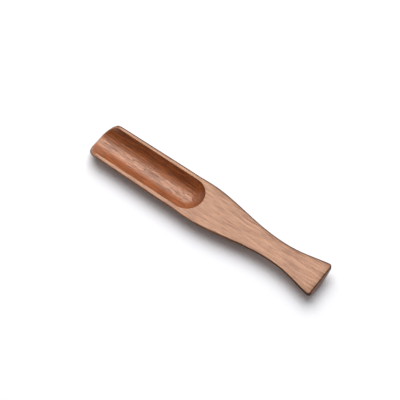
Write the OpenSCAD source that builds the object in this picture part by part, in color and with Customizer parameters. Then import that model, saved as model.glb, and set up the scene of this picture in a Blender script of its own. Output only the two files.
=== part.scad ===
// Wooden tea scoop carved from one piece of hardwood. X runs from the mouth
// to the fish tail, Z is up, and the origin lies midway along the scoop, on the
// plane that the flat of the belly rests on.

/* [Overall] */
// Length from the lip of the mouth to the end of the fish tail
length = 170; // [140:1:200]
// Height from the flat of the belly to the top face
height = 11; // [10:0.1:14]

/* [Outline seen from above] */
// Width over the two rims at the mouth
mouth_w = 26.7; // [25.5:0.1:30]
// Width over the two rims along the trough
rim_w = 27.8; // [26.5:0.1:31]
// Greatest width, at the hump behind the trough
hump_w = 28.4; // [27:0.1:34]
// Least width, at the waist of the handle
waist_w = 14.9; // [10:0.1:20]
// Width across the end of the fish tail
tail_w = 24.8; // [18:0.1:30]
// Length of the flare from the waist to the end of the tail
tail_l = 32.7; // [24:0.1:40]
// Radius of the two corners of the tail
tail_corner_r = 1.5; // [0.5:0.1:3]

/* [Trough] */
// Width of the trough between its rims
trough_w = 22.3; // [18:0.1:23.5]
// Depth of the trough below the top face
trough_d = 8.1; // [6:0.1:8.4]
// Length of the trough from the lip to its round end
trough_l = 81.7; // [60:0.1:90]

/* [Mouth] */
// Length over which the top face falls to the lip
rake_l = 9.5; // [5:0.1:13]
// Thickness of the wood under the trough at the lip
lip_t = 1.4; // [1:0.1:2]
// Length over which the belly sweeps up to the lip
lip_sweep_l = 26; // [16:1:40]

/* [Belly and handle] */
// Width of the flat that the scoop rests on
belly_flat_w = 6; // [4:0.1:8]
// Length of the level belly behind the trough
belly_run_l = 16; // [10:0.5:20]
// Height of the upright side along the trough
trough_side_h = 1.5; // [0.8:0.1:2]
// Height of the upright side at the waist
waist_side_h = 1.6; // [1:0.1:3]
// Height of the upright side at the end of the tail
tail_side_h = 3.3; // [2:0.1:4.5]
// Thickness of the handle at the waist
waist_t = 6; // [5:0.1:8]
// Thickness of the tail at the middle of its end
tail_t = 7.4; // [6:0.1:9]

/* [Facets] */
// Rings along the level top face
body_rings = 60; // [40:1:80]
// Steps of the belly's round from the upright side down to the flat
belly_steps = 9; // [6:1:12]

/* [Hidden] */
wood = "#9f5d3b";

// Least height of the upright side, where the mouth has cut the rest of it away
rake_edge_h = 0.3;
// How far each rim of the mouth turns in at the lip
mouth_nip = 0.5;
// Distance of the greatest width before the round end of the trough
hump_lead = 1.5;
// Length over which the rim swells into the hump
hump_run_l = 12;
// Length over which the flat of the belly narrows at each of its ends
flat_fade_l = 14;
// How far a cut runs past the face that it opens
overrun = 5;

// Share of the flat's width that is left along the handle, where the belly is round
round_flat_share = 0.12;
// Share of the way to the hump at which the rims reach their width
rim_share = 0.75;
// Exponent of the shoulder between hump and waist: under 1 it falls sooner
shoulder_share = 0.93;
// Exponent of the flare of the tail: over 1 it opens later
flare_share = 1.12;
// Share of a whole S curve that the flare follows before the tail is cut square
flare_cut_share = 0.825;
// Exponent of the mouth's fall: 1 is a straight rake, more is rounded at the top
rake_share = 1.8;

mouth_rings = 8;
corner_rings = 4;

// The ball-nosed cutter whose chord at the top face is the trough's width
trough_r = (pow(trough_w / 2, 2) + pow(trough_d, 2)) / (2 * trough_d);
trough_axis_z = height - trough_d + trough_r;
trough_end_x = trough_l - trough_w / 2;

hump_x = trough_l - hump_lead;
waist_x = length - tail_l;
belly_end_x = trough_l + belly_run_l;
lip_rise = height - trough_d - lip_t;

// Where the rings stand, measured from the lip
stations = concat(
    [for (i = [0 : mouth_rings - 1]) rake_l * i / mouth_rings],
    [for (i = [0 : body_rings]) rake_l + (length - tail_corner_r - rake_l) * i / body_rings],
    [for (i = [1 : corner_rings]) length - tail_corner_r * (1 - sin(90 * i / corner_rings))]
);

// Rises from 0 to 1, level at both ends
function ease(t) = 0.5 - 0.5 * cos(180 * min(1, max(0, t)));

// Half the width of the trough's part, out to the hump
function trough_half_w(x) =
    mouth_w / 2 - mouth_nip * (1 - ease(x / rake_l))
    + (rim_w - mouth_w) / 2 * min(1, x / (rim_share * hump_x))
    + (hump_w - rim_w) / 2 * ease((x - hump_x + hump_run_l) / hump_run_l);

// Half the width of the shoulder, from the hump to the waist
function shoulder_half_w(x) =
    hump_w / 2 - (hump_w - waist_w) / 2 * ease(pow((x - hump_x) / (waist_x - hump_x), shoulder_share));

// Half the width of the flare, from the waist to the square end
function flare_half_w(x) =
    waist_w / 2 + (tail_w - waist_w) / 2
    * ease(pow(flare_cut_share * (x - waist_x) / tail_l, flare_share))
    / ease(pow(flare_cut_share, flare_share));

// How far the round corner of the tail draws the side in
function corner_nip(x) =
    let (in = max(0, x - length + tail_corner_r))
    tail_corner_r - sqrt(max(0, pow(tail_corner_r, 2) - pow(in, 2)));

function half_w(x) =
    x < hump_x ? trough_half_w(x) :
    x < waist_x ? shoulder_half_w(x) : flare_half_w(x) - corner_nip(x);

// How far the top face has fallen, which it does only at the mouth
function top_drop(x) = trough_d * pow(max(0, 1 - x / rake_l), rake_share);

// How far the belly lies below the level of the top face
function belly_drop(x) =
    height - lip_rise * (1 - ease(x / lip_sweep_l))
    - (height - waist_t) * ease((x - belly_end_x) / (waist_x - belly_end_x))
    + (tail_t - waist_t) * ease((x - waist_x) / tail_l);

// How far down the upright side reaches where the top face is level
function side_drop(x) =
    trough_side_h
    + (waist_side_h - trough_side_h) * ease((x - hump_x) / (waist_x - hump_x))
    + (tail_side_h - waist_side_h) * ease((x - waist_x) / tail_l);

// Half the width of the flat along the bottom, full only where the belly is level
function half_flat(x) =
    let (
        fade_in = ease((x - lip_sweep_l + flat_fade_l) / flat_fade_l),
        fade_out = 1 - ease((x - belly_end_x) / flat_fade_l)
    )
    belly_flat_w / 2 * max(round_flat_share, min(fade_in, fade_out));

// One half of the cross-section, from the rim down to the flat of the belly, as [y, drop]:
// an upright side, then an arc about a centre on the middle plane
function half_section(x) =
    let (
        side = side_drop(x),
        belly = belly_drop(x),
        wide = half_w(x),
        flat = half_flat(x),
        centre = ((pow(wide, 2) - pow(flat, 2)) / (belly - side) - belly - side) / 2,
        round_r = norm([wide, centre + side]),
        foot = max(side, top_drop(x) + rake_edge_h),
        start = acos((centre + foot) / round_r),
        end = asin(flat / round_r),
        arc = [for (i = [0 : belly_steps]) start + (end - start) * i / belly_steps]
    )
    concat(
        [[round_r * sin(start), top_drop(x)]],
        [for (a = arc) [round_r * sin(a), round_r * cos(a) - centre]]
    );

// The whole cross-section in place, from the far rim round the belly to the near rim
function ring(x) =
    let (half = half_section(x), last = len(half) - 1)
    concat(
        [for (p = half) [x - length / 2, p[0], height - p[1]]],
        [for (i = [last : -1 : 0]) [x - length / 2, -half[i][0], height - half[i][1]]]
    );

// The outside of the scoop as a loft of rings, with mirrored diagonals on its two sides
module blank() {
    count = 2 * (belly_steps + 2);
    rings = len(stations);
    sides = [
        for (r = [0 : rings - 2], k = [0 : count - 2], half = [0, 1])
        let (a = r * count + k, b = a + 1, c = b + count, d = a + count)
        k < count / 2
            ? (half == 0 ? [a, b, c] : [a, c, d])
            : (half == 0 ? [a, b, d] : [b, c, d])
    ];
    top = [for (r = [0 : rings - 2]) let (a = r * count) [a, a + count, a + 2 * count - 1, a + count - 1]];
    lip = [for (k = [count - 1 : -1 : 0]) k];
    tail = [for (k = [0 : count - 1]) (rings - 1) * count + k];
    polyhedron(
        points = [for (x = stations) each ring(x)],
        faces = concat(sides, top, [lip, tail]),
        convexity = 4
    );
}

// The cut of a ball-nosed tool that runs in through the mouth and stops at the round end
module trough_cut() {
    translate([trough_end_x - length / 2, 0, trough_axis_z]) {
        sphere(r = trough_r, $fn = 96);
        rotate([0, -90, 0])
            cylinder(r = trough_r, h = trough_end_x + overrun, $fn = 96);
    }
}

module tea_scoop() {
    color(wood)
        difference() {
            blank();
            trough_cut();
        }
}

tea_scoop();
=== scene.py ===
"""Dresses the wooden tea scoop: a finer mesh of its form, its waxed wood, and a plain studio.

The scoop and the camera are measured in millimetres until a point goes into the scene, and the
studio round them in metres. X runs from the mouth to the fish tail and Z is up. Places along the
scoop are measured from the lip of the mouth, and depths are drops below the top face.
"""

from __future__ import annotations

import logging
import math
from dataclasses import dataclass, field
from enum import Enum
from typing import Any, Callable

import bmesh
import bpy
from mathutils import Matrix, Vector


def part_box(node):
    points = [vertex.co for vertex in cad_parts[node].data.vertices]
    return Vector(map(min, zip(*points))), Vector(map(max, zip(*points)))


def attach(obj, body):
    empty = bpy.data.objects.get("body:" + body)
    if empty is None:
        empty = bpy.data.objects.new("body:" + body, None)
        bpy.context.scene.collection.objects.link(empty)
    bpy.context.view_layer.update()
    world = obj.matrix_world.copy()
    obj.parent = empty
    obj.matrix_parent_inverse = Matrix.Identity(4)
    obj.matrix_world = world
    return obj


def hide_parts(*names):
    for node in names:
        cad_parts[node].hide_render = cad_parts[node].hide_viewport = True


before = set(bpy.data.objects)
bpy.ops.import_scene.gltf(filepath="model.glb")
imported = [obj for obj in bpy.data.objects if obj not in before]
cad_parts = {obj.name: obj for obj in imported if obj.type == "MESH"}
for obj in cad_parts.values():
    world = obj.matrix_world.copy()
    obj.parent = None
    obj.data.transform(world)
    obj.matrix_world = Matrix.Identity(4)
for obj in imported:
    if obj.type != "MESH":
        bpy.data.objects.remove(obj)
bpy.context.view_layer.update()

MM = 0.001
QUARTER_TURN = 90.0
NODE = "tea_scoop"
BODY = "root"

Pair = tuple[float, float]
Colour = tuple[float, float, float, float]
PLAIN: Pair = (0.0, 0.0)
# Sockets of a Mix node for colours, whose names other sockets share
MIX_SHARE, MIX_UNDER, MIX_OVER, MIX_RESULT = 0, 6, 7, 2
log = logging.getLogger(NODE)


class Half(Enum):
    """The two mirrored halves, by the sign of Y."""

    NEAR = -1
    FAR = 1


def linear(hex_colour: str) -> Colour:
    """Turns an sRGB hex colour into Blender's linear colour.

    Args:
        hex_colour: six hex digits after a hash sign.

    Returns:
        Linear red, green and blue, and an alpha of 1.
    """
    parts = [int(hex_colour[i : i + 2], 16) / 255 for i in (1, 3, 5)]
    red, green, blue = (p / 12.92 if p <= 0.04045 else ((p + 0.055) / 1.055) ** 2.4 for p in parts)
    return (red, green, blue, 1.0)


def ease(share: float) -> float:
    """Rises from 0 to 1, level at both ends."""
    return 0.5 - 0.5 * math.cos(math.pi * min(1.0, max(0.0, share)))


def toward(azimuth: float, elevation: float) -> Vector:
    """The direction from the origin at two angles.

    Args:
        azimuth: degrees from X, round Z.
        elevation: degrees above the floor.

    Returns:
        The direction, of length 1.
    """
    turn, rise = math.radians(azimuth), math.radians(elevation)
    level = math.cos(rise)
    return Vector((level * math.cos(turn), level * math.sin(turn), math.sin(rise)))


def blend(start: Vector, end: Vector, steps: int, first: float) -> list[Vector]:
    """The points that cut the way between two points into steps.

    Args:
        start: where the way starts.
        end: where it ends.
        steps: number of steps.
        first: length of the first step, if there is room. The others are equal.

    Returns:
        The points between the two, without them.
    """
    near = start.lerp(end, min(first / (end - start).length, 1 / steps))
    return [near] + [near.lerp(end, i / (steps - 1)) for i in range(1, steps - 1)]


def fillet(corner: Vector, side: Vector, face: Vector, radius: float, steps: int) -> list[Vector]:
    """Rounds the corner between two surfaces.

    Args:
        corner: a point of the sharp edge.
        side: the first surface's outward direction there, of length 1.
        face: the second surface's outward direction there, of length 1.
        radius: radius of the round.
        steps: number of steps along it.

    Returns:
        Points along the round, from the first surface to the second.
    """
    centre = corner - (side + face) * radius / (1 + side.dot(face))
    return [centre + side.slerp(face, i / steps) * radius for i in range(steps + 1)]


def put(name: str, data: bpy.types.ID) -> bpy.types.Object:
    """Puts a new object in the scene.

    Args:
        name: the object's name.
        data: its mesh, lamp or camera.

    Returns:
        The object, at the origin.
    """
    made = bpy.data.objects.new(name, data)
    bpy.context.scene.collection.objects.link(made)
    return made


def board(name: str, width: float, depth: float) -> bpy.types.Object:
    """Puts a flat rectangle in the scene, level and about the origin.

    Args:
        name: the object's name.
        width: size along X, in metres.
        depth: size along Y, in metres.

    Returns:
        The rectangle.
    """
    made = bpy.data.meshes.new(name)
    x, y = width / 2, depth / 2
    made.from_pydata([(-x, -y, 0.0), (x, -y, 0.0), (x, y, 0.0), (-x, y, 0.0)], [], [(0, 1, 2, 3)])
    return put(name, made)


def hang(thing: bpy.types.Object, azimuth: float, elevation: float, distance: float) -> None:
    """Moves a thing out from the origin and turns its underside to it.

    Args:
        thing: the object to hang.
        azimuth: degrees from X, round Z.
        elevation: degrees above the floor.
        distance: distance from the origin, in metres.
    """
    away = toward(azimuth, elevation)
    thing.location = away * distance
    thing.rotation_euler = away.to_track_quat("Z", "Y").to_euler()


@dataclass(frozen=True)
class Outline:
    """The scoop seen from above: rims, hump, waist and fish tail."""

    length: float
    hump_w: float
    mouth_w: float = 26.7
    rim_w: float = 27.8
    waist_w: float = 14.9
    tail_w: float = 24.8
    tail_l: float = 32.7
    # A little rounder than the solid's corners
    tail_corner_r: float = 2.2
    hump_x: float = 80.2
    hump_run_l: float = 12.0
    mouth_nip: float = 0.5
    mouth_nip_l: float = 9.5
    rim_share: float = 0.75
    shoulder_power: float = 0.93
    flare_power: float = 1.12
    flare_cut_share: float = 0.825

    @property
    def waist_x(self) -> float:
        """Place of the narrowest part."""
        return self.length - self.tail_l

    def half_w(self, x: float) -> float:
        """Half the width at a place along the scoop.

        Args:
            x: distance from the lip.

        Returns:
            Distance of the side from the middle.
        """
        if x < self.hump_x:
            rim = min(1.0, x / (self.rim_share * self.hump_x))
            swell = ease((x - self.hump_x + self.hump_run_l) / self.hump_run_l)
            nip = self.mouth_nip * (1 - ease(x / self.mouth_nip_l))
            rise = (self.rim_w - self.mouth_w) * rim + (self.hump_w - self.rim_w) * swell
            return (self.mouth_w + rise) / 2 - nip
        if x < self.waist_x:
            along = (x - self.hump_x) / (self.waist_x - self.hump_x)
            fall = (self.hump_w - self.waist_w) * ease(along**self.shoulder_power)
            return (self.hump_w - fall) / 2
        along = self.flare_cut_share * (x - self.waist_x) / self.tail_l
        flare = ease(along**self.flare_power) / ease(self.flare_cut_share**self.flare_power)
        past = max(0.0, x - self.length + self.tail_corner_r)
        corner = self.tail_corner_r - math.sqrt(max(0.0, self.tail_corner_r**2 - past**2))
        return (self.waist_w + (self.tail_w - self.waist_w) * flare) / 2 - corner


@dataclass(frozen=True)
class Belly:
    """The outside below the top face: upright side, round belly and the flat that it rests on."""

    outline: Outline
    height: float
    floor_t: float
    lip_t: float = 1.4
    lip_sweep_l: float = 26.0
    flat_w: float = 6.0
    level_end_x: float = 97.7
    side_h: float = 1.5
    waist_side_h: float = 1.6
    tail_side_h: float = 3.3
    waist_t: float = 6.0
    tail_t: float = 7.4
    flat_fade_l: float = 14.0
    round_flat_share: float = 0.12
    foot_r: float = 0.8
    round_steps: int = 14
    foot_steps: int = 3
    side_steps: int = 8
    side_power: float = 1.8

    def drop(self, x: float) -> float:
        """How far the belly lies below the top face.

        Args:
            x: distance from the lip.

        Returns:
            The drop along the middle.
        """
        line = self.outline
        sweep = (self.floor_t - self.lip_t) * (1 - ease(x / self.lip_sweep_l))
        to_waist = ease((x - self.level_end_x) / (line.waist_x - self.level_end_x))
        to_tail = ease((x - line.waist_x) / line.tail_l)
        rise = (self.height - self.waist_t) * to_waist
        return self.height - sweep - rise + (self.tail_t - self.waist_t) * to_tail

    def side(self, x: float) -> float:
        """How far down the upright side reaches before its foot is rounded.

        Args:
            x: distance from the lip.

        Returns:
            The drop of the side's foot.
        """
        line = self.outline
        to_waist = ease((x - line.hump_x) / (line.waist_x - line.hump_x))
        to_tail = ease((x - line.waist_x) / line.tail_l)
        grow = (self.waist_side_h - self.side_h) * to_waist
        return self.side_h + grow + (self.tail_side_h - self.waist_side_h) * to_tail

    def half_flat(self, x: float) -> float:
        """Half the width of the flat, which is full only where the belly is level.

        Args:
            x: distance from the lip.

        Returns:
            Distance of the flat's edge from the middle.
        """
        fade_in = ease((x - self.lip_sweep_l + self.flat_fade_l) / self.flat_fade_l)
        fade_out = 1 - ease((x - self.level_end_x) / self.flat_fade_l)
        return self.flat_w / 2 * max(self.round_flat_share, min(fade_in, fade_out))

    def profile(self, x: float, top: float, inset: float = 0.0) -> list[Vector]:
        """One half of the outside, from the middle of the flat up the side.

        Args:
            x: distance from the lip.
            top: drop at which the side ends.
            inset: how far the belly is drawn in at the tail's end.

        Returns:
            Points as (x, distance from the middle, drop).
        """
        wide, side, belly = self.outline.half_w(x), self.side(x), self.drop(x)
        flat = self.half_flat(x)
        rise = ((wide**2 - flat**2) / (belly - side) - belly - side) / 2
        round_r = math.hypot(wide, rise + side)
        foot_down = math.sqrt((round_r - self.foot_r) ** 2 - (wide - self.foot_r) ** 2)
        foot_angle = math.atan2(wide - self.foot_r, foot_down)
        flat_angle = math.asin(flat / round_r)
        points = [Vector((x, 0.0, belly - inset))]
        for i in range(self.round_steps + 1):
            turn = flat_angle + (foot_angle - flat_angle) * i / self.round_steps
            low = min(round_r * math.cos(turn) - rise, belly - inset)
            points.append(Vector((x, round_r * math.sin(turn), low)))
        for i in range(1, self.foot_steps + 1):
            turn = foot_angle + (math.pi / 2 - foot_angle) * i / self.foot_steps
            out = wide - self.foot_r * (1 - math.sin(turn))
            points.append(Vector((x, out, foot_down - rise + self.foot_r * math.cos(turn))))
        for i in range(1, self.side_steps + 1):
            left = (1 - i / self.side_steps) ** self.side_power
            points.append(Vector((x, wide, top + (foot_down - rise - top) * left)))
        return points


@dataclass(frozen=True)
class Trough:
    """The cut of a ball-nosed tool along the scoop."""

    width: float = 22.3
    depth: float = 8.1
    length: float = 81.7
    spread_power: float = 1.8

    @property
    def cutter_r(self) -> float:
        """Radius of the tool whose chord at the top face is the width."""
        return ((self.width / 2) ** 2 + self.depth**2) / (2 * self.depth)

    @property
    def axis_rise(self) -> float:
        """Height of the tool's axis above the top face."""
        return self.cutter_r - self.depth

    @property
    def end_x(self) -> float:
        """Place where the straight run ends and the round end starts."""
        return self.length - self.width / 2

    def rim(self, radius: float) -> tuple[Vector, float]:
        """The middle of a round on the rim, and the angle at which it meets the wall."""
        angle = math.acos((self.axis_rise + radius) / (self.cutter_r + radius))
        return Vector((0.0, (self.cutter_r + radius) * math.sin(angle), radius)), angle

    def wall(self, x: float, radius: float, steps: int) -> list[Vector]:
        """One half of the wall and floor, from the rim to the middle.

        Args:
            x: distance from the lip.
            radius: radius of the rim's round, where the wall starts below it.
            steps: number of steps.

        Returns:
            Points as (x, distance from the middle, drop).
        """
        angle = self.rim(radius)[1]
        turns = [angle * (1 - (i / steps) ** self.spread_power) for i in range(steps + 1)]
        low = self.cutter_r
        return [Vector((x, low * math.sin(t), low * math.cos(t) - self.axis_rise)) for t in turns]


@dataclass(frozen=True)
class Mouth:
    """The raked end: the top face falls in a curve to the lip."""

    depth: float
    rake_l: float = 9.5
    rake_power: float = 1.8
    lip_soft: float = 0.25
    # Keeps the slope finite at the top edge
    least_share: float = 1e-9

    def face(self, drop: float) -> tuple[float, Vector]:
        """The raked face at a drop.

        Args:
            drop: distance below the top face.

        Returns:
            Its distance from the lip, and its outward direction as (x, across, drop).
        """
        share = max(self.least_share, drop / self.depth)
        raw = self.rake_l * (1 - share ** (1 / self.rake_power))
        fall = -self.rake_l / self.rake_power / self.depth * share ** (1 / self.rake_power - 1)
        soft = math.hypot(raw, self.lip_soft)
        return (raw + soft) / 2, Vector((-1.0, 0.0, fall * (1 + raw / soft) / 2)).normalized()


@dataclass
class Patchwork:
    """Collects patches of four-sided faces and welds them into one closed mesh.

    It puts the origin midway along the scoop and at the foot of its height.
    """

    height: float
    length: float
    weld_mm: float = 0.001
    points: list[Vector] = field(default_factory=list)
    faces: list[list[int]] = field(default_factory=list)
    marks: list[Pair] = field(default_factory=list)

    def add(self, row: list[Vector], half: Half, marks: list[Pair]) -> list[int]:
        """Adds a row of points in one half.

        Args:
            row: the points.
            half: the half to put them in.
            marks: how much painted shade each point takes and how deep in the hollow it lies, from
                0 to 1.

        Returns:
            The points' numbers.
        """
        first = len(self.points)
        for point in row:
            x, y = point.x - self.length / 2, point.y * half.value
            self.points.append(Vector((x, y, self.height - point.z)) * MM)
        self.marks += marks
        return list(range(first, len(self.points)))

    def weave(
        self, rows: list[list[Vector]], marks: Callable[[list[Vector], Half], list[Pair]]
    ) -> None:
        """Joins neighbouring rows of equal length with faces, in both halves.

        Args:
            rows: the rows of points.
            marks: gives how much painted shade each point of a row takes and how deep in the hollow
                it lies, from 0 to 1.
        """
        for half in Half:
            numbers = [self.add(row, half, marks(row, half)) for row in rows]
            for near, far in zip(numbers, numbers[1:]):
                for i in range(len(near) - 1):
                    self.faces.append([near[i], near[i + 1], far[i + 1], far[i]])

    def cap(self, row: list[Vector], inset: float) -> None:
        """Closes an end with a flat face across both halves and a border round it.

        Args:
            row: one half of the end's outline, marked with full painted shade.
            inset: width of the border.
        """
        middle = (row[0] + row[-1]) / 2
        inner = [point.lerp(middle, inset / (point - middle).length) for point in row]
        plain = [PLAIN] * len(row)
        self.weave([row, inner], lambda line, half: [(float(line is row), 0.0)] * len(line))
        near = self.add(inner, Half.NEAR, plain)
        far = self.add(inner, Half.FAR, plain)
        self.faces.append(near + far[::-1][1:-1])

    def mesh(self, name: str, mark_name: str) -> bpy.types.Mesh:
        """Welds the patches.

        Args:
            name: the mesh's name.
            mark_name: name of the attribute that holds the marks as a vector, painted shade first.

        Returns:
            A closed mesh with smooth faces, in metres.
        """
        made = bpy.data.meshes.new(name)
        made.from_pydata(self.points, [], self.faces)
        layer = made.attributes.new(mark_name, "FLOAT_VECTOR", "POINT")
        values = [value for painted_shade, carved in self.marks for value in (painted_shade, carved, 0.0)]
        layer.data.foreach_set("vector", values)
        work = bmesh.new()
        work.from_mesh(made)
        bmesh.ops.remove_doubles(work, verts=work.verts, dist=self.weld_mm * MM)
        bmesh.ops.dissolve_degenerate(work, edges=work.edges, dist=self.weld_mm * MM)
        bmesh.ops.recalc_face_normals(work, faces=work.faces)
        work.to_mesh(made)
        work.free()
        made.shade_smooth()
        return made


def add_node(
    tree: bpy.types.NodeTree,
    kind: str,
    inputs: dict[str | int, Any] | None = None,
    **settings: Any,
) -> bpy.types.Node:
    """Adds a node with its settings and links.

    Args:
        tree: the node tree.
        kind: Blender's name for the node's type.
        inputs: values or sockets for the node's inputs, by name or number.
        **settings: the node's own settings.

    Returns:
        The new node.
    """
    node = tree.nodes.new(kind)
    for name, value in settings.items():
        setattr(node, name, value)
    for key, value in (inputs or {}).items():
        if isinstance(value, bpy.types.NodeSocket):
            tree.links.new(value, node.inputs[key])
        else:
            node.inputs[key].default_value = value
    return node


def bare_material(name: str) -> bpy.types.Material:
    """Makes a material without nodes.

    Args:
        name: the material's name.

    Returns:
        The material, whose node tree is empty.
    """
    made = bpy.data.materials.new(name)
    made.use_nodes = True
    made.node_tree.nodes.clear()
    return made


def seen_rays(tree: bpy.types.NodeTree) -> bpy.types.NodeSocket:
    """Tells what is seen from plain light.

    Args:
        tree: the node tree of a material or the world.

    Returns:
        1 for what the camera sees, also mirrored in gloss or through glass, and 0 for plain light.
    """
    path = add_node(tree, "ShaderNodeLightPath")
    inputs = {0: path.outputs["Is Glossy Ray"], 1: path.outputs["Is Transmission Ray"]}
    mirrored = add_node(tree, "ShaderNodeMath", inputs, operation="MAXIMUM")
    inputs = {0: mirrored.outputs[0], 1: path.outputs["Is Camera Ray"]}
    return add_node(tree, "ShaderNodeMath", inputs, operation="MAXIMUM").outputs[0]


@dataclass(frozen=True)
class Grain:
    """One layer of the wood's figure: noise drawn out along the scoop."""

    long_mm: float
    wide_mm: float
    weight: float
    seed: float
    seed_way: tuple[float, float, float] = (1.0, 1.7, 2.3)
    detail: float = 1.0

    def noise(self, tree: bpy.types.NodeTree, place: bpy.types.NodeSocket) -> bpy.types.NodeSocket:
        """Adds the layer's noise.

        Args:
            tree: the material's node tree.
            place: the wood's own coordinates, in metres.

        Returns:
            The noise, about 0.5 on average.
        """
        across = 1 / (self.wide_mm * MM)
        inputs = {
            "Vector": place,
            "Location": [self.seed * way for way in self.seed_way],
            "Scale": (1 / (self.long_mm * MM), across, across),
        }
        drawn = add_node(tree, "ShaderNodeMapping", inputs)
        inputs = {"Vector": drawn.outputs[0], "Scale": 1.0, "Detail": self.detail}
        return add_node(tree, "ShaderNodeTexNoise", inputs).outputs["Fac"]


@dataclass(frozen=True)
class WoodSigns:
    """What the wood's colour, gloss and relief follow, each from 0 to 1.

    The figure is 0.5 on average, and the others are 0 on plain wood.
    """

    figure: bpy.types.NodeSocket
    vessels: bpy.types.NodeSocket
    ends: bpy.types.NodeSocket
    # How much painted shade a place takes
    painted_shade: bpy.types.NodeSocket
    carved: bpy.types.NodeSocket


@dataclass(frozen=True)
class WaxedHardwood:
    """Straight-grained red-brown hardwood, planed, carved, sanded along the grain and waxed.

    It gives the eye soft bands a few millimetres wide, narrow streaks, fine fibre lines and short
    dark vessel lines along the scoop, darker cut ends where the wax soaks in, and a satin gloss. It
    also has shade painted on: dark on the sides and some edges, and darker and redder in the
    hollow.
    """

    # The mesh's mark: first how much painted shade a point takes, then whether it lies in the
    # hollow
    mark_name: str = "shade_and_hollow"
    pale: str = "#a16438"
    heart: str = "#905327"
    dark: str = "#783c18"
    dark_edge: Pair = (0.5, 0.25)
    pale_edge: Pair = (0.5, 0.75)
    vessel_tone: str = "#40200f"
    end_tone: str = "#5a3323"
    end_edge: Pair = (0.45, 0.95)
    soak: float = 0.75
    # Painted shade: a near-black brown laid on the sides, the far arris, the mouth's edge and the
    # tail's end
    shade_tone: str = "#2b140d"
    shade_strength: float = 0.96
    # Painted shade: the hollow is drawn a little darker and redder than the wood outside, for the
    # shade in it
    hollow_shade_tint: str = "#ffebdf"
    # The fibres under the wax throw the light back warm and bright, and a high IOR and a tint of
    # the gloss stand for that
    ior: float = 1.69
    gloss_tint: str = "#ffecda"
    satin: float = 0.1
    dull: float = 0.44
    pore_dulling: float = 0.42
    # Where shade is painted, the gloss is duller too
    shade_dulling: float = 0.7
    end_dulling: float = 0.4
    # Growth layers are about 3 mm wide on this piece, and change over a hand's width
    growth: Grain = Grain(long_mm=90.0, wide_mm=3.2, weight=0.4, seed=3.1)
    streak: Grain = Grain(long_mm=30.0, wide_mm=0.6, weight=0.6, seed=7.4)
    # Fibre lines are about 0.05 mm wide and are drawn 0.44 mm wide, so that they show
    fibre: Grain = Grain(long_mm=12.0, wide_mm=0.44, weight=2.3, seed=1.9)
    # Vessels are about 0.15 mm wide and 1 to 4 mm long, and are drawn 0.36 mm wide, so that
    # they show
    vessel: Grain = Grain(long_mm=3.6, wide_mm=0.36, weight=0.28, seed=5.6)
    vessel_edge: Pair = (0.56, 0.66)
    # The tool leaves vessels and fibre open in the hollow, where sanding doesn't reach them
    hollow_vessel: float = 0.82
    hollow_contrast: float = 0.52
    waver_mm: float = 0.8
    waver_long_mm: float = 45.0
    relief_mm: float = 0.06
    relief: float = 0.3

    def place(self, tree: bpy.types.NodeTree) -> bpy.types.NodeSocket:
        """Bends the wood's own coordinates a little, so that the lines waver.

        Args:
            tree: the material's node tree.

        Returns:
            The coordinates, in metres.
        """
        place = add_node(tree, "ShaderNodeTexCoord").outputs["Object"]
        inputs = {"Vector": place, "Scale": 1 / (self.waver_long_mm * MM), "Detail": 0.0}
        bend = add_node(tree, "ShaderNodeTexNoise", inputs)
        reach = (0.0, self.waver_mm * MM, self.waver_mm * MM)
        inputs = {0: bend.outputs["Color"], 1: reach, 2: place}
        return add_node(tree, "ShaderNodeVectorMath", inputs, operation="MULTIPLY_ADD").outputs[0]

    def figure(self, tree: bpy.types.NodeTree, place: bpy.types.NodeSocket) -> bpy.types.NodeSocket:
        """Adds up growth, streaks and fibre into one tone from dark to pale.

        Args:
            tree: the material's node tree.
            place: the wood's own coordinates.

        Returns:
            The tone, about 0.5 on average.
        """
        layers = (self.growth, self.streak, self.fibre)
        tone: Any = 0.5 - 0.5 * sum(layer.weight for layer in layers)
        for layer in layers:
            inputs = {0: layer.noise(tree, place), 1: layer.weight, 2: tone}
            tone = add_node(tree, "ShaderNodeMath", inputs, operation="MULTIPLY_ADD").outputs[0]
        return tone

    def vessels(
        self, tree: bpy.types.NodeTree, place: bpy.types.NodeSocket, carved: bpy.types.NodeSocket
    ) -> bpy.types.NodeSocket:
        """Adds the vessel lines.

        Args:
            tree: the material's node tree.
            place: the wood's own coordinates.
            carved: is 1 in the hollow and 0 elsewhere.

        Returns:
            How dark and deep the vessel at a place is.
        """
        inputs = {0: carved, 1: self.hollow_vessel - self.vessel.weight, 2: self.vessel.weight}
        depth = add_node(tree, "ShaderNodeMath", inputs, operation="MULTIPLY_ADD")
        inputs = {
            "Value": self.vessel.noise(tree, place),
            "From Min": self.vessel_edge[0],
            "From Max": self.vessel_edge[1],
            "To Max": depth.outputs[0],
        }
        return add_node(tree, "ShaderNodeMapRange", inputs).outputs[0]

    def ends(self, tree: bpy.types.NodeTree) -> bpy.types.NodeSocket:
        """Finds the cut ends from the way that the wood faces.

        Args:
            tree: the material's node tree.

        Returns:
            How much of the wood's end a place shows.
        """
        normal = add_node(tree, "ShaderNodeTexCoord").outputs["Normal"]
        facing = add_node(tree, "ShaderNodeSeparateXYZ", {0: normal})
        across = add_node(tree, "ShaderNodeMath", {0: facing.outputs["X"]}, operation="ABSOLUTE")
        inputs = {
            "Value": across.outputs[0],
            "From Min": self.end_edge[0],
            "From Max": self.end_edge[1],
            "To Max": self.soak,
        }
        return add_node(tree, "ShaderNodeMapRange", inputs).outputs[0]

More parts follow.
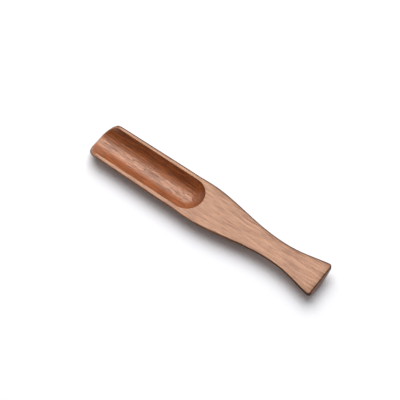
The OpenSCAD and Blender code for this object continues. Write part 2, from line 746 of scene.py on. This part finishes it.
    def signs(self, tree: bpy.types.NodeTree) -> WoodSigns:
        """Adds what the colour, the gloss and the relief follow.

        Args:
            tree: the material's node tree.

        Returns:
            The signs.
        """
        place = self.place(tree)
        mark = add_node(tree, "ShaderNodeAttribute", attribute_name=self.mark_name)
        marks = add_node(tree, "ShaderNodeSeparateXYZ", {0: mark.outputs["Vector"]}).outputs
        return WoodSigns(
            figure=self.figure(tree, place),
            vessels=self.vessels(tree, place, marks["Y"]),
            ends=self.ends(tree),
            # The first mark is painted shade
            painted_shade=marks["X"],
            carved=marks["Y"],
        )

    def colour(self, tree: bpy.types.NodeTree, signs: WoodSigns) -> bpy.types.NodeSocket:
        """Mixes the wood's colour.

        Args:
            tree: the material's node tree.
            signs: what the colour follows.

        Returns:
            The base colour.
        """
        shares = []
        for edge, value, most in (
            (self.dark_edge, signs.figure, 1.0),
            (self.pale_edge, signs.figure, 1.0),
            # how much painted shade a place takes
            ((0.0, 1.0), signs.painted_shade, self.shade_strength),
        ):
            inputs = {"Value": value, "From Min": edge[0], "From Max": edge[1], "To Max": most}
            shares.append(add_node(tree, "ShaderNodeMapRange", inputs).outputs[0])
        dark_share, pale_share, shade_share = shares
        inputs = {0: signs.figure, 1: self.hollow_contrast, 2: 1 - self.hollow_contrast / 2}
        streaks = add_node(tree, "ShaderNodeMath", inputs, operation="MULTIPLY_ADD").outputs[0]
        colour: Any = linear(self.heart)
        for tone, share, blend_type in (
            (linear(self.dark), dark_share, "MIX"),
            (linear(self.pale), pale_share, "MIX"),
            # painted shade in the hollow
            (linear(self.hollow_shade_tint), signs.carved, "MULTIPLY"),
            (streaks, signs.carved, "MULTIPLY"),
            (linear(self.vessel_tone), signs.vessels, "MIX"),
            (linear(self.end_tone), signs.ends, "MIX"),
            # painted shade on the sides and edges
            (linear(self.shade_tone), shade_share, "MIX"),
        ):
            inputs = {MIX_SHARE: share, MIX_UNDER: colour, MIX_OVER: tone}
            mixed = add_node(tree, "ShaderNodeMix", inputs, data_type="RGBA", blend_type=blend_type)
            colour = mixed.outputs[MIX_RESULT]
        return colour

    def roughness(self, tree: bpy.types.NodeTree, signs: WoodSigns) -> bpy.types.NodeSocket:
        """Adds up what dulls the gloss.

        Args:
            tree: the material's node tree.
            signs: what the gloss follows.

        Returns:
            The roughness.
        """
        inputs = {"Value": signs.figure, "To Min": self.dull, "To Max": self.satin}
        rough = add_node(tree, "ShaderNodeMapRange", inputs).outputs[0]
        for sign, dulling in (
            (signs.vessels, self.pore_dulling),
            # The places of painted shade are also duller
            (signs.painted_shade, self.shade_dulling),
            (signs.ends, self.end_dulling),
        ):
            inputs = {0: sign, 1: dulling, 2: rough}
            rough = add_node(tree, "ShaderNodeMath", inputs, operation="MULTIPLY_ADD").outputs[0]
        return rough

    def material(self) -> bpy.types.Material:
        """Builds the material.

        Returns:
            The wood.
        """
        made = bare_material("waxed_hardwood")
        tree = made.node_tree
        signs = self.signs(tree)
        inputs = {0: signs.figure, 1: signs.vessels}
        sunk = add_node(tree, "ShaderNodeMath", inputs, operation="SUBTRACT")
        inputs = {
            "Height": sunk.outputs[0],
            "Strength": self.relief,
            "Distance": self.relief_mm * MM,
        }
        pores = add_node(tree, "ShaderNodeBump", inputs)
        inputs = {
            "Base Color": self.colour(tree, signs),
            "Roughness": self.roughness(tree, signs),
            "Normal": pores.outputs[0],
            "IOR": self.ior,
            "Specular Tint": linear(self.gloss_tint),
        }
        surface = add_node(tree, "ShaderNodeBsdfPrincipled", inputs)
        add_node(tree, "ShaderNodeOutputMaterial", {"Surface": surface.outputs[0]})
        return made


@dataclass
class Scoop:
    """The scoop, carved from one piece of wood."""

    outline: Outline
    belly: Belly
    trough: Trough
    mouth: Mouth
    finish: WaxedHardwood = field(default_factory=WaxedHardwood)
    arris_r: float = 0.45
    arris_steps: int = 4
    top_steps: int = 4
    # The band next to an arris on the top face is this wide, and the arris's painted shade runs
    # onto it, fainter
    edge_band_w: float = 0.45
    next_arris_shade: float = 0.3
    # Painted shade on the sides, darker from the trough to the handle
    side_shade: float = 0.5
    handle_side_shade: float = 1.0
    # Painted shade at the tail's end and along the mouth's edge, and on the far arris but not the
    # near one
    tail_shade: float = 0.28
    tail_shade_l: float = 5.0
    tail_edge_l: float = 25.0
    mouth_shade: float = 0.65
    mouth_edge_l: float = 11.0
    arris_shade: dict[Half, float] = field(default_factory=lambda: {Half.NEAR: 0.0, Half.FAR: 1.0})
    mouth_end_x: float = 18.0
    mouth_rings: int = 18
    channel_rings: int = 48
    ball_rings: int = 24
    # Length of outside that goes with the trough's round end
    swing_l: float = 13.6
    handle_rings: int = 72
    corner_rings: int = 8
    # Sections that lie this close together, by decimals of a millimetre, are one
    place_digits: int = 4
    # Tries for a point of the mouth's outer edge, and how far to each side its slope is taken
    edge_tries: int = 12
    edge_reach: float = 0.05
    shading_weight: int = 100

    @property
    def column_count(self) -> int:
        """Steps from the belly's middle to the top of the side, and along the trough's wall."""
        return 1 + self.belly.round_steps + self.belly.foot_steps + self.belly.side_steps

    def outside(self, x: float) -> list[Vector]:
        """One half of the outside, from the belly's middle over the arris to the top face.

        Args:
            x: distance from the lip.

        Returns:
            Points as (x, distance from the middle, drop).
        """
        past = max(0.0, x - self.outline.length + self.arris_r)
        inset = self.arris_r - math.sqrt(max(0.0, self.arris_r**2 - past**2))
        points = self.belly.profile(x, self.arris_r + inset, inset)
        for i in range(1, self.arris_steps + 1):
            turn = math.pi / 2 * i / self.arris_steps
            out = points[self.column_count].y - self.arris_r * (1 - math.cos(turn))
            points.append(Vector((x, out, self.arris_r * (1 - math.sin(turn)) + inset)))
        return points

    def inside(self, x: float) -> list[Vector]:
        """One half of the cut, from the top face over the rim's round to the floor's middle.

        Args:
            x: distance from the lip.

        Returns:
            Points as (x, distance from the middle, drop).
        """
        centre, angle = self.trough.rim(self.arris_r)
        points = []
        for i in range(self.arris_steps):
            turn = angle * i / self.arris_steps
            across = centre.y - self.arris_r * math.sin(turn)
            points.append(Vector((x, across, self.arris_r * (1 - math.cos(turn)))))
        return points + self.trough.wall(x, self.arris_r, self.column_count)

    def join(self, out: list[Vector], cut: list[Vector]) -> list[Vector]:
        """Joins a row of the outside and a row of the cut across the top face."""
        return out + blend(out[-1], cut[0], self.top_steps, self.edge_band_w) + cut

    def section(self, x: float) -> list[Vector]:
        """One half of the section through the trough, from belly to floor."""
        return self.join(self.outside(x), self.inside(x))

    def marks(self, row: list[Vector], half: Half, first: int = 0) -> list[Pair]:
        """How much painted shade each point of a row takes, and whether it lies in the hollow.

        Args:
            row: points of a row.
            half: the half that the row is for.
            first: column of its first point, counted from the belly's middle.

        Returns:
            A pair for each point. Shade is painted on the sides, the far arris, the mouth's edge
            and the tail's end.
        """
        line = self.outline
        past_hump = ease((row[0].x - line.hump_x) / (line.waist_x - line.hump_x))
        side_shade_here = self.side_shade + (self.handle_side_shade - self.side_shade) * past_hump
        past_tail = row[0].x - line.length
        end = ease(1 + (past_tail + self.arris_r) / self.edge_band_w)
        near_end = self.tail_shade * ease(1 + past_tail / self.tail_shade_l)
        tail_edge = self.tail_shade * ease(1 + past_tail / self.tail_edge_l)
        mouth_edge = self.mouth_shade * ease(1 - row[0].x / self.mouth_edge_l)
        arris_end = self.column_count + self.arris_steps
        hollow_start = arris_end + self.top_steps + self.arris_steps
        marks = []
        for column in range(first, first + len(row)):
            painted_shade = 0.0
            # Painted shade on the sides, on the arris, fainter on the first column of the top face,
            # and all round the tail's end
            if self.belly.round_steps < column <= self.column_count + 1:
                painted_shade = side_shade_here
            elif self.column_count < column <= arris_end:
                painted_shade = max(self.arris_shade[half], mouth_edge)
            elif column == arris_end + 1:
                painted_shade = max(self.arris_shade[half] * self.next_arris_shade, tail_edge, mouth_edge)
            marks.append((max(painted_shade, end, near_end), float(column > hollow_start)))
        return marks

    def edge_row(self, corner: Vector, side: Vector) -> list[Vector]:
        """Rounds the mouth's edge at a point of its sharp line, from the side to the raked face."""
        return fillet(corner, side, self.mouth.face(corner.z)[1], self.arris_r, self.arris_steps)

    def outer_edge(self, column: int) -> list[Vector]:
        """Rounds the mouth's outer edge where a column of the outside meets the raked face.

        Args:
            column: number of the column, counted from the belly's middle.

        Returns:
            Points from the outside to the raked face.
        """
        x, reach = 0.0, self.edge_reach
        for _ in range(self.edge_tries):
            x = self.mouth.face(self.belly.profile(x, 0.0)[column].z)[0]
        here = self.belly.profile(x, 0.0)
        ahead, behind = (self.belly.profile(x + way, 0.0)[column] for way in (reach, -reach))
        change = (ahead - behind) / reach / 2
        along = here[min(column + 1, len(here) - 1)] - here[max(column - 1, 0)]
        if column == 0:
            along = Vector((0.0, 1.0, 0.0))
        return self.edge_row(here[column], change.cross(along).normalized())

    def inner_edge(self, column: int) -> list[Vector]:
        """Rounds the mouth's inner edge where a column of the cut meets the raked face.

        Args:
            column: number of the column, counted from the rim.

        Returns:
            Points from the cut to the raked face.
        """
        corner = self.trough.wall(0.0, 0.0, self.column_count)[column]
        inward = -Vector((0.0, corner.y, corner.z + self.trough.axis_rise)).normalized()
        corner.x = self.mouth.face(corner.z)[0]
        return self.edge_row(corner, inward)

    def mouth_face(self) -> list[list[Vector]]:
        """The raked face with its rounded edges.

        Returns:
            Rows from the outside to the cut, first at the top face and last at the lip's middle.
        """
        top = self.section(self.mouth.face(0.0)[0])
        first = self.column_count
        last = len(top) - 1 - self.column_count
        rows = [top[first : last + 1]]
        for i in range(1, self.column_count + 1):
            outer = self.outer_edge(self.column_count - i)
            inner = self.inner_edge(i)
            between = blend(outer[-1], inner[-1], self.top_steps, self.edge_band_w)
            for point in between:
                point.x = self.mouth.face(point.z)[0]
            rows.append(outer + between + inner[::-1])
        return rows

    def mouth_run(self, face_rows: list[list[Vector]]) -> list[list[Vector]]:
        """Rings that lead from the edge of the raked face to the first upright section.

        Args:
            face_rows: the raked face's rows.

        Returns:
            Rows from the belly's middle to the floor's middle.
        """
        outer = [row[0] for row in face_rows[:0:-1]]
        inner = [row[-1] for row in face_rows[1:]]
        first = outer + face_rows[0] + inner
        shifts = [point - self.section(point.x)[i] for i, point in enumerate(first)]
        rows = [first]
        for j in range(1, self.mouth_rings):
            share = j / self.mouth_rings
            row = []
            for i, point in enumerate(first):
                x = point.x + (self.mouth_end_x - point.x) * share
                row.append(self.section(x)[i] + shifts[i] * (1 - share))
            rows.append(row)
        return rows

    def channel(self) -> list[list[Vector]]:
        """Upright sections along the trough's straight run.

        Returns:
            Rows from the belly's middle to the floor's middle.
        """
        run = self.trough.end_x - self.mouth_end_x
        steps = [run * i / self.channel_rings for i in range(self.channel_rings)]
        return [self.section(self.mouth_end_x + step) for step in steps]

    def ball_end(self) -> list[list[Vector]]:
        """The round end, which the cut turns through while the outside goes on upright.

        Returns:
            Rows from the belly's middle to the middle of the cut.
        """
        rows = []
        for i in range(self.ball_rings + 1):
            turn = math.pi / 2 * i / self.ball_rings
            out = self.outside(self.trough.end_x + self.swing_l * i / self.ball_rings)
            cut = self.inside(self.trough.end_x)
            for point in cut:
                point.x = self.trough.end_x + point.y * math.sin(turn)
                point.y *= math.cos(turn)
            rows.append(self.join(out, cut))
        return rows

    def handle(self, first: list[Vector]) -> list[list[Vector]]:
        """Sections from the trough's round end to the tail's end.

        Args:
            first: the part of the round end's last row that lies outside the trough.

        Returns:
            Rows from the belly's middle to the middle of the top face.
        """
        start = self.trough.end_x + self.swing_l
        corner_x = self.outline.length - self.outline.tail_corner_r
        run = corner_x - start
        places = [start + run * i / self.handle_rings for i in range(1, self.handle_rings + 1)]
        turns = [math.pi / 2 * i / self.corner_rings for i in range(1, self.corner_rings + 1)]
        for radius in (self.outline.tail_corner_r, self.arris_r):
            places += [self.outline.length - radius * (1 - math.sin(turn)) for turn in turns]
        rows = [first]
        for x in sorted({round(place, self.place_digits) for place in places}):
            out = self.outside(x)
            rows.append(self.join(out, [Vector((x, 0.0, out[-1].z))]))
        return rows

    def build(self) -> bpy.types.Object:
        """Builds the scoop's mesh and puts it in the scene.

        Returns:
            The scoop.
        """
        work = Patchwork(self.belly.height, self.outline.length)
        face_rows = self.mouth_face()
        rows = self.mouth_run(face_rows) + self.channel() + self.ball_end()
        cut_start = len(self.outside(0.0)) + self.top_steps
        handle_rows = self.handle(rows[-1][:cut_start])
        work.weave(rows, self.marks)
        work.weave(face_rows, lambda row, half: self.marks(row, half, self.column_count))
        work.weave(handle_rows, self.marks)
        work.cap(handle_rows[-1], self.edge_band_w)
        scoop = put("scoop", work.mesh("scoop", self.finish.mark_name))
        even = scoop.modifiers.new("even_shading", "WEIGHTED_NORMAL")
        even.weight = self.shading_weight
        return scoop

    def dress(self, scoop: bpy.types.Object) -> None:
        """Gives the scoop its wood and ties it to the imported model.

        Args:
            scoop: the scoop.
        """
        scoop.data.materials.append(self.finish.material())
        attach(scoop, BODY)
        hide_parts(NODE)


@dataclass
class Floor:
    """The pale floor, which shows white to the camera and keeps the scoop's shadow."""

    size: float = 3.0
    # Matt paper has no gloss, and the light that it throws back on the wood is greyer than it looks
    seen: str = "#f7f7fa"
    bounce: str = "#e9e9e9"

    def build(self) -> bpy.types.Object:
        """Builds the floor under the belly's flat.

        Returns:
            The floor.
        """
        floor = board("floor", self.size, self.size)
        return floor

    def dress(self, floor: bpy.types.Object) -> None:
        """Paints the floor pale to the camera and greyer to the light that bounces off it.

        Args:
            floor: the floor.
        """
        paper = bare_material("floor_paper")
        tree = paper.node_tree
        inputs = {
            MIX_SHARE: seen_rays(tree),
            MIX_UNDER: linear(self.bounce),
            MIX_OVER: linear(self.seen),
        }
        colour = add_node(tree, "ShaderNodeMix", inputs, data_type="RGBA")
        surface = add_node(tree, "ShaderNodeBsdfDiffuse", {"Color": colour.outputs[MIX_RESULT]})
        add_node(tree, "ShaderNodeOutputMaterial", {"Surface": surface.outputs[0]})
        floor.data.materials.append(paper)


@dataclass
class Flag:
    """A grey board beside the near side, which only gloss shows.

    It keeps the white of the room off the hollow's far wall, which stays deep.
    """

    azimuth: float = 250.0
    elevation: float = 24.0
    distance: float = 1.0
    width: float = 1.8
    height: float = 0.8
    # Matt cloth has no gloss of its own
    colour: str = "#5a5a5a"

    def build(self) -> None:
        """Hangs the board, out of sight of the camera and of plain light."""
        flag = board("flag", self.width, self.height)
        hang(flag, self.azimuth, self.elevation, self.distance)
        flag.visible_camera = False
        flag.visible_diffuse = False
        flag.visible_shadow = False
        cloth = bare_material("flag_cloth")
        tree = cloth.node_tree
        surface = add_node(tree, "ShaderNodeBsdfDiffuse", {"Color": linear(self.colour)})
        add_node(tree, "ShaderNodeOutputMaterial", {"Surface": surface.outputs[0]})
        flag.data.materials.append(cloth)


@dataclass
class Studio:
    """The softbox over the far side of the table, and the white room round it."""

    azimuth: float = 129.0
    elevation: float = 63.8
    distance: float = 2.4
    size: float = 2.21
    power: float = 62.3
    # The room's own light: even all round, and more of it towards the softbox
    fill: float = 0.025
    glow: float = 0.55
    glow_elevation: float = 67.0

    def build(self) -> None:
        """Hangs the softbox and sets the world, which glows most on the softbox's side."""
        lamp = bpy.data.lights.new("softbox", "AREA")
        lamp.shape = "SQUARE"
        lamp.size = self.size
        lamp.energy = self.power
        hang(put("softbox", lamp), self.azimuth, self.elevation, self.distance)
        world = bpy.data.worlds.new("studio")
        world.use_nodes = True
        tree = world.node_tree
        tree.nodes.clear()
        place = add_node(tree, "ShaderNodeTexCoord")
        inputs = {0: place.outputs["Generated"], 1: toward(self.azimuth, self.glow_elevation)}
        facing = add_node(tree, "ShaderNodeVectorMath", inputs, operation="DOT_PRODUCT")
        inputs = {0: facing.outputs["Value"], 1: 0.0}
        ahead = add_node(tree, "ShaderNodeMath", inputs, operation="MAXIMUM")
        inputs = {0: ahead.outputs[0], 1: self.glow, 2: self.fill}
        room = add_node(tree, "ShaderNodeMath", inputs, operation="MULTIPLY_ADD")
        inputs = {0: room.outputs[0], 1: seen_rays(tree)}
        strength = add_node(tree, "ShaderNodeMath", inputs, operation="MAXIMUM")
        inputs = {"Color": linear("#ffffff"), "Strength": strength.outputs[0]}
        shine = add_node(tree, "ShaderNodeBackground", inputs)
        add_node(tree, "ShaderNodeOutputWorld", {"Surface": shine.outputs[0]})
        bpy.context.scene.world = world
        bpy.context.scene.view_settings.view_transform = "Standard"


@dataclass(frozen=True)
class Viewpoint:
    """The camera, at the photograph's angle: over the near side, a little past the tail's end."""

    target: tuple[float, float, float] = (-4.90, 0.43, 11.15)
    azimuth: float = 36.84
    elevation: float = 60.39
    distance: float = 974.0
    lens: float = 144.0
    sensor: float = 36.0
    nearest: float = 10.0

    def build(self) -> None:
        """Places the camera."""
        right = toward(self.azimuth, 0.0)
        back = toward(self.azimuth - QUARTER_TURN, self.elevation)
        lens = bpy.data.cameras.new("camera")
        lens.lens = self.lens
        lens.sensor_width = self.sensor
        lens.clip_start = self.nearest * MM
        camera = put("camera", lens)
        pose = Matrix((right, back.cross(right), back)).transposed().to_4x4()
        pose.translation = (Vector(self.target) + back * self.distance) * MM
        camera.matrix_world = pose
        bpy.context.scene.camera = camera


def main() -> None:
    """Builds the scoop, the floor, the light and the camera in that order."""
    logging.basicConfig(level=logging.INFO, format="%(name)s: %(message)s")
    low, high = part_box(NODE)
    length, width, height = ((high[i] - low[i]) / MM for i in range(3))
    outline = Outline(length=length, hump_w=width)
    trough = Trough()
    belly = Belly(outline=outline, height=height, floor_t=height - trough.depth)
    scoop = Scoop(outline, belly, trough, Mouth(depth=trough.depth))
    body = scoop.build()
    scoop.dress(body)
    log.info("scoop: %d faces", len(body.data.polygons))
    floor = Floor()
    floor.dress(floor.build())
    log.info("floor: %.1f m square", floor.size)
    Studio().build()
    Flag().build()
    log.info("studio: one softbox and a flag")
    Viewpoint().build()
    log.info("camera: set")
    log.info("size: written")


if __name__ == "__main__":
    main()
